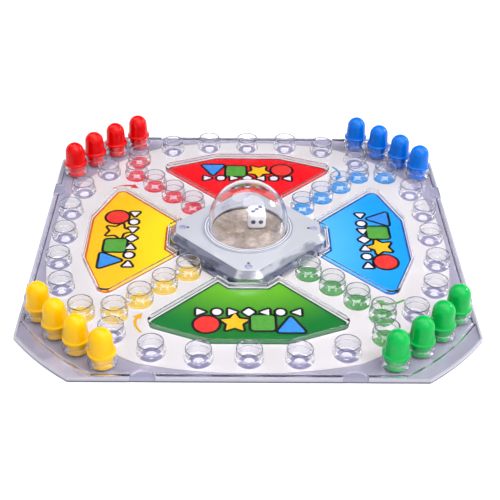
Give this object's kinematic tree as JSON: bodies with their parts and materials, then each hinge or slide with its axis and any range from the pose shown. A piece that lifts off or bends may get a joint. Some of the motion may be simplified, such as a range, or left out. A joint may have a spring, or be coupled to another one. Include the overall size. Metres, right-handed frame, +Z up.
{
  "type": "pop up dice board game",
  "caption": "Square race board game with a clear socketed deck over a printed card, seated pegs and a press dome that pops a die in the middle.",
  "frame": {"origin": "middle of the board on its underside, where it rests on the table", "axes": "+Z up; -Y towards the front edge (green panel), +X towards the right (blue panel)"},
  "size_m": [0.268, 0.268, 0.0432],
  "materials": {
    "clear": "clear, moulded",
    "tray": "clear plastic over white, moulded",
    "card": "printed, satin",
    "panel_red": "printed, satin",
    "panel_blue": "printed, satin",
    "panel_green": "printed, satin",
    "panel_yellow": "printed, satin",
    "housing": "silver-grey, moulded",
    "dome": "clear, polished",
    "floor": "dull",
    "inner": "moulded",
    "steel": "plain",
    "die": "white, moulded",
    "peg_red": "moulded",
    "peg_blue": "moulded",
    "peg_green": "moulded",
    "peg_yellow": "moulded"
  },
  "bodies": {
    "board": {"base_tray": "tray", "home_sockets_blue": "clear", "home_sockets_green": "clear", "home_sockets_red": "clear", "home_sockets_yellow": "clear", "lane_sockets_blue": "clear", "lane_sockets_green": "clear", "lane_sockets_red": "clear", "lane_sockets_yellow": "clear", "panel_blue": "panel_blue", "panel_green": "panel_green", "panel_red": "panel_red", "panel_yellow": "panel_yellow", "popper_base": "inner", "popper_housing": "housing", "popper_screws": "steel", "printed_card": "card", "rim_bead": "clear", "snap_clips": "clear", "snap_spring": "steel", "top_deck": "clear", "track_sockets_back": "clear", "track_sockets_front": "clear", "track_sockets_left": "clear", "track_sockets_right": "clear", "window_back": "clear", "window_front": "clear", "window_left": "clear", "window_right": "clear"},
    "dome_unit": {"popper_dome": "dome", "die_floor": "floor"},
    "die": {"die": "die"},
    "red_peg_1": {"peg_red_1": "peg_red"},
    "red_peg_2": {"peg_red_2": "peg_red"},
    "red_peg_3": {"peg_red_3": "peg_red"},
    "red_peg_4": {"peg_red_4": "peg_red"},
    "blue_peg_1": {"peg_blue_1": "peg_blue"},
    "blue_peg_2": {"peg_blue_2": "peg_blue"},
    "blue_peg_3": {"peg_blue_3": "peg_blue"},
    "blue_peg_4": {"peg_blue_4": "peg_blue"},
    "green_peg_1": {"peg_green_1": "peg_green"},
    "green_peg_2": {"peg_green_2": "peg_green"},
    "green_peg_3": {"peg_green_3": "peg_green"},
    "green_peg_4": {"peg_green_4": "peg_green"},
    "yellow_peg_1": {"peg_yellow_1": "peg_yellow"},
    "yellow_peg_2": {"peg_yellow_2": "peg_yellow"},
    "yellow_peg_3": {"peg_yellow_3": "peg_yellow"},
    "yellow_peg_4": {"peg_yellow_4": "peg_yellow"}
  },
  "joints": [
    {"name": "dome_press", "type": "slide", "parent": "board", "child": "dome_unit", "axis": [0, 0, -1], "range_m": [0, 0.003], "stiffness_N_per_m": 2000, "springref_m": -0.001, "deforming": ["snap_spring"]},
    {"name": "die_hop", "type": "slide", "parent": "dome_unit", "child": "die", "axis": [0, 0, 1], "range_m": [0, 0.012]},
    {"name": "lift_red_1", "type": "slide", "parent": "board", "child": "red_peg_1", "axis": [0, 0, 1], "range_m": [0, 0.02]},
    {"name": "lift_red_2", "type": "slide", "parent": "board", "child": "red_peg_2", "axis": [0, 0, 1], "range_m": [0, 0.02]},
    {"name": "lift_red_3", "type": "slide", "parent": "board", "child": "red_peg_3", "axis": [0, 0, 1], "range_m": [0, 0.02]},
    {"name": "lift_red_4", "type": "slide", "parent": "board", "child": "red_peg_4", "axis": [0, 0, 1], "range_m": [0, 0.02]},
    {"name": "lift_blue_1", "type": "slide", "parent": "board", "child": "blue_peg_1", "axis": [0, 0, 1], "range_m": [0, 0.02]},
    {"name": "lift_blue_2", "type": "slide", "parent": "board", "child": "blue_peg_2", "axis": [0, 0, 1], "range_m": [0, 0.02]},
    {"name": "lift_blue_3", "type": "slide", "parent": "board", "child": "blue_peg_3", "axis": [0, 0, 1], "range_m": [0, 0.02]},
    {"name": "lift_blue_4", "type": "slide", "parent": "board", "child": "blue_peg_4", "axis": [0, 0, 1], "range_m": [0, 0.02]},
    {"name": "lift_green_1", "type": "slide", "parent": "board", "child": "green_peg_1", "axis": [0, 0, 1], "range_m": [0, 0.02]},
    {"name": "lift_green_2", "type": "slide", "parent": "board", "child": "green_peg_2", "axis": [0, 0, 1], "range_m": [0, 0.02]},
    {"name": "lift_green_3", "type": "slide", "parent": "board", "child": "green_peg_3", "axis": [0, 0, 1], "range_m": [0, 0.02]},
    {"name": "lift_green_4", "type": "slide", "parent": "board", "child": "green_peg_4", "axis": [0, 0, 1], "range_m": [0, 0.02]},
    {"name": "lift_yellow_1", "type": "slide", "parent": "board", "child": "yellow_peg_1", "axis": [0, 0, 1], "range_m": [0, 0.02]},
    {"name": "lift_yellow_2", "type": "slide", "parent": "board", "child": "yellow_peg_2", "axis": [0, 0, 1], "range_m": [0, 0.02]},
    {"name": "lift_yellow_3", "type": "slide", "parent": "board", "child": "yellow_peg_3", "axis": [0, 0, 1], "range_m": [0, 0.02]},
    {"name": "lift_yellow_4", "type": "slide", "parent": "board", "child": "yellow_peg_4", "axis": [0, 0, 1], "range_m": [0, 0.02]}
  ]
}
